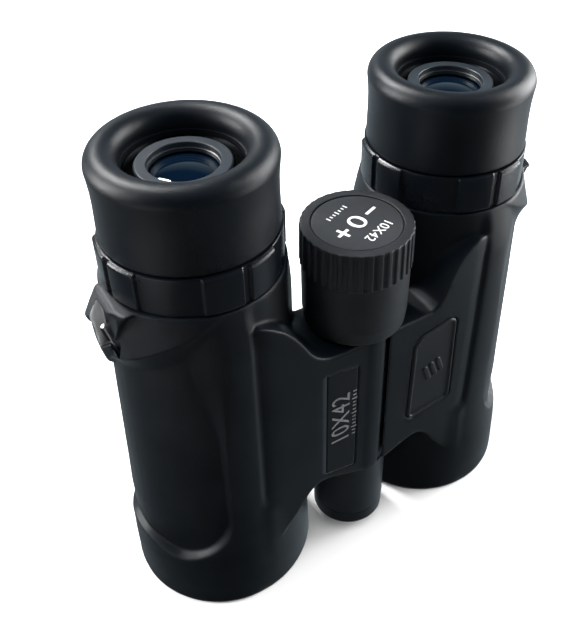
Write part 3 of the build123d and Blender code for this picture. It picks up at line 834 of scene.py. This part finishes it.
def build_eyepiece_tube(side):
    """Eyepiece tube; its top face is cut with fine ridges against stray light."""
    low, top = heights(side + "_eyepiece_tube")
    ridges = []
    for index in range(RIDGE_COUNT):
        r = 12.45 - index * RIDGE_PITCH
        ridges += [(r, top), (r - RIDGE_PITCH / 2, top - RIDGE_DEPTH)]
    outline = [(17.5, low), (17.5, RING_HIGH), (15.6, RING_HIGH), (15.6, TUBE_SHOULDER_Z),
               (12.6, TUBE_SHOULDER_Z), (12.6, top - 0.1)]
    outline += ridges
    outline += [(10.5, top), (10.5, 126.6), (9.6, 126.6), (9.6, 121.0), (11.1, 121.0),
                (11.1, MIDDLE_LENS_LOW), (14.5, MIDDLE_LENS_LOW), (14.5, low)]
    outline = dense(outline, 3.0)
    piece = lathe(side + "_eyepiece_barrel", outline, BARREL[side], BLACK_ALLOY, steps=128, sharp=25)
    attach(piece, side + "_half")
    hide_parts(side + "_eyepiece_tube")


# ---------------------------------------------------------------- focus knob
KNOB_RIBS = 36
KNOB_RIB_STEPS = 16
KNOB_R = 13.65
KNOB_SMOOTH_R = KNOB_R - 0.38                # below the ribs
KNOB_RIB_LOW = 97.35
KNOB_RIB_DEPTH = 0.42
KNOB_BORE_R = 3.0
KNOB_HOLLOW_R, KNOB_HOLLOW_TOP = 11.2, 102.8
CAP_SEAT_R, CAP_SEAT_DEPTH = 10.95, 1.3
CAP_R = 10.8
AXIS_R = 0.0001              # stands for the axis in the cap's outline
CAP_TURN = math.radians(201.8)
SIGN_PLACE = 5.6             # from the cap's middle to the minus and the plus
SIGN_LENGTH, SIGN_WIDTH = 3.6, 0.75
PLUS_ARM, PLUS_ARM_PLACE = 1.45, 1.1         # each half of the plus's upright, and its middle


def knob_push(angles, r, z):
    """Grip ribs round the upper part of the knob."""
    if r < KNOB_R - 0.75:
        return 0 * angles
    wave = np.cos(angles * KNOB_RIBS)
    groove = ease(-wave, -0.45, 0.35)
    start = ease(z, KNOB_RIB_LOW + 0.05, KNOB_RIB_LOW + 0.45)
    window = start * (1 - 0.7 * ease(z, KNOB_HIGH - 0.9, KNOB_HIGH - 0.1))
    return -groove * window * KNOB_RIB_DEPTH + (1 - groove) * window * 0.04 * wave


def build_knob():
    """Focus knob: ribbed grip over a smooth skirt, hollow below, with a seat for its cap."""
    seat = KNOB_HIGH - CAP_SEAT_DEPTH
    corners = [
        (KNOB_BORE_R, seat, 0), (CAP_SEAT_R, seat, 0.1), (CAP_SEAT_R, KNOB_HIGH, 0.25),
        (KNOB_R - 0.1, KNOB_HIGH, 0.4), (KNOB_R, KNOB_RIB_LOW + 0.35, 0.15),
        (KNOB_SMOOTH_R, KNOB_RIB_LOW, 0.15), (KNOB_SMOOTH_R - 0.1, KNOB_LOW + 4, 2),
        (KNOB_SMOOTH_R - 0.5, KNOB_LOW, 1.6), (KNOB_HOLLOW_R, KNOB_LOW, 0.2),
        (KNOB_HOLLOW_R, KNOB_HOLLOW_TOP, 0.3), (KNOB_BORE_R, KNOB_HOLLOW_TOP, 0)]
    outline = dense(rounded(corners, 5), 0.7)
    steps = KNOB_RIBS * KNOB_RIB_STEPS
    piece = lathe("focus_wheel", outline, HINGE, KNOB_PLASTIC, steps=steps, sharp=60, push=knob_push)
    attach(piece, "focus_knob")
    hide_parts("focus_knob")


def build_cap():
    """Disc on the knob, printed with a minus, a nought, a plus, the size figures and a tick row."""
    low, top = heights("focus_knob_cap")
    corners = [(3.2, low, 0), (CAP_R, low, 0), (CAP_R, top, 0.3), (0.6, top, 0.1), (AXIS_R, top, 0),
               (AXIS_R, top - 0.6, 0), (3.2, top - 0.6, 0)]
    cap = lathe("focus_wheel_cap", dense(rounded(corners), 0.8), HINGE, CAP_PLASTIC, steps=160, sharp=40)
    along = (math.cos(CAP_TURN), math.sin(CAP_TURN), 0)
    across = (-math.sin(CAP_TURN), math.cos(CAP_TURN), 0)
    marks = [lettering("0", 4.2, 4.8, (0, 0)), lettering("10X42", 8.6, 2.4, (0, 6.0))]
    marks += [bar(SIGN_LENGTH, SIGN_WIDTH, (place, 0)) for place in (-SIGN_PLACE, SIGN_PLACE)]
    marks += [bar(SIGN_WIDTH, PLUS_ARM, (SIGN_PLACE, offset)) for offset in (PLUS_ARM_PLACE, -PLUS_ARM_PLACE)]
    marks += [bar(0.35, 1.3 if index % 3 == 0 else 0.8, (index * 1.1, -5.8)) for index in range(-3, 4)]
    add_marks(cap, marks, PRINT, (*HINGE, top), along, across)
    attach(cap, "focus_knob")
    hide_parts("focus_knob_cap")


# ---------------------------------------------------------------- CAD nodes that stay, with their materials
NODE_MATERIALS = {
    "housing": PAINT, "objective_tube": BLACK_ALLOY, "objective_cell": BLACK_ALLOY,
    "objective_retaining_ring": BLACK_ALLOY, "objective_doublet": OBJECTIVE, "prism_cage": BLACK_PLASTIC,
    "roof_prisms": PRISM, "prism_clip": STEEL, "prism_clip_screws": STEEL, "eyepiece_spacer": BLACK_ALLOY,
    "focus_cell": BLACK_PLASTIC, "focus_lens": LENS, "field_lens_cell": BLACK_ALLOY, "field_lens": LENS,
    "eyecup_detent_ring": STEEL, "eyecup_core": BLACK_PLASTIC,
    "hinge_axle": STEEL, "hinge_washers": WASHER, "hinge_clamp_nut": STEEL, "hinge_end_cap": PAINT,
    "focus_screw": STEEL, "focus_nut": BRASS, "focus_carriage": STEEL, "focus_knob_screw": STEEL,
}


def paint_nodes():
    """Give each CAD node that no piece replaces its material; both sides of a pair share one."""
    for name, node in frame["nodes"].items():
        plain = name.removeprefix("left_").removeprefix("right_")
        material = NODE_MATERIALS.get(plain)
        if material is None:
            continue
        node.data.materials.clear()
        node.data.materials.append(material)


# ---------------------------------------------------------------- stage
FLOOR_HALF = 3000.0
FLOOR_Z = -0.05
SKY_DIRECTION = (0.55, 0.60, -0.50)


def build_stage():
    """Pale floor, which the rubber doesn't reflect."""
    floor_material, nodes, links = new_material("pale_floor")
    shader = nodes["Principled BSDF"]
    cloud = noise(nodes, links, object_coordinates(nodes), 3, 2)
    shade = mix_colours(nodes, links, cloud, (0.90, 0.90, 0.90), (0.92, 0.92, 0.92))
    links.new(shade, shader.inputs["Base Color"])
    shader.inputs["Roughness"].default_value = 0.9
    corners = [(sx * FLOOR_HALF, sy * FLOOR_HALF, FLOOR_Z) for sx, sy in ((-1, -1), (1, -1), (1, 1), (-1, 1))]
    floor = add_mesh("floor", corners, [(0, 1, 2, 3)], floor_material)
    floor.visible_glossy = False


def build_world():
    """Sky that is bright below and behind the pair on its right, and dark towards the camera."""
    world = bpy.data.worlds.new("studio")
    bpy.context.scene.world = world
    world.use_nodes = True
    nodes, links = world.node_tree.nodes, world.node_tree.links
    direction = nodes.new("ShaderNodeTexCoord").outputs["Generated"]
    facing = nodes.new("ShaderNodeVectorMath")
    facing.operation = "DOT_PRODUCT"
    facing.inputs[1].default_value = SKY_DIRECTION
    links.new(direction, facing.inputs[0])
    strength = remap(nodes, links, facing.outputs["Value"], 0.0, 0.90, 0.20, 0.95)
    links.new(strength, nodes["Background"].inputs["Strength"])
    nodes["Background"].inputs["Color"].default_value = (0.78, 0.92, 1, 1)


def add_softbox(name, place, target, size, power, shiny=True):
    """Area light; one that isn't shiny lights the pair without being reflected in it."""
    light = bpy.data.lights.new(name, "AREA")
    light.shape = "RECTANGLE"
    light.size, light.size_y = size
    light.energy = power
    lamp = bpy.data.objects.new(name, light)
    bpy.context.scene.collection.objects.link(lamp)
    lamp.visible_camera = False
    lamp.visible_glossy = shiny
    lamp.location = Vector(place)
    lamp.rotation_euler = (Vector(target) - Vector(place)).to_track_quat("-Z", "Y").to_euler()


CAMERA_PLACE = (-91.033, -141.707 + BARREL_Y, 221.271)
CAMERA_TURN = (-32.324, 38.129, 0.254)       # yaw, downward pitch and roll, in degrees
CAMERA_LENS = 47.79
CAMERA_SHIFT = (-0.0498, -0.0939)


def add_camera():
    """Looks down on the pair from its front left."""
    yaw, pitch, roll = (math.radians(angle) for angle in CAMERA_TURN)
    forward = Vector((-math.sin(yaw) * math.cos(pitch), math.cos(yaw) * math.cos(pitch), -math.sin(pitch)))
    level = Vector((math.cos(yaw), math.sin(yaw), 0))
    rise = level.cross(forward)
    right = level * math.cos(roll) + rise * math.sin(roll)
    up = rise * math.cos(roll) - level * math.sin(roll)
    camera = bpy.data.cameras.new("camera")
    camera.sensor_width = 36.0
    camera.lens = CAMERA_LENS
    camera.shift_x, camera.shift_y = CAMERA_SHIFT
    camera.clip_start = 0.01
    view = bpy.data.objects.new("camera", camera)
    bpy.context.scene.collection.objects.link(view)
    turn = Matrix((right, up, -forward)).transposed().to_4x4()
    view.matrix_world = Matrix.Translation(Vector(CAMERA_PLACE) * MM) @ turn
    bpy.context.scene.camera = view


add_camera()
build_stage()
build_world()
bpy.context.scene.view_settings.view_transform = "Standard"
add_softbox("key", (-0.20, 0.60, 0.80), (0, 0, 0.08), (0.26, 0.26), 15)
add_softbox("right", (0.85, -0.08, 0.34), (0, 0, 0.06), (0.6, 0.7), 16)
add_softbox("left", (-0.75, 0.45, 0.35), (0, 0, 0.06), (0.3, 0.5), 12)
add_softbox("overhead", (0, 0, 1.30), (0, 0, 0), (1.7, 1.7), 30, shiny=False)
add_softbox("card", (0.24, -0.15, 0.06), (0.05, -0.02, 0.06), (0.16, 0.18), 0.34)
add_softbox("low_card", (-0.25, -0.08, 0.03), (-0.04, 0, 0.06), (0.14, 0.12), 0.07)
paint_nodes()
for side in SIDES:
    build_armour(side)
    build_eyecup(side)
    build_ring(side)
    build_bezel(side)
    build_eyepiece_tube(side)
    build_lenses(side)
build_knob()
build_cap()
build_badge()
build_plate()
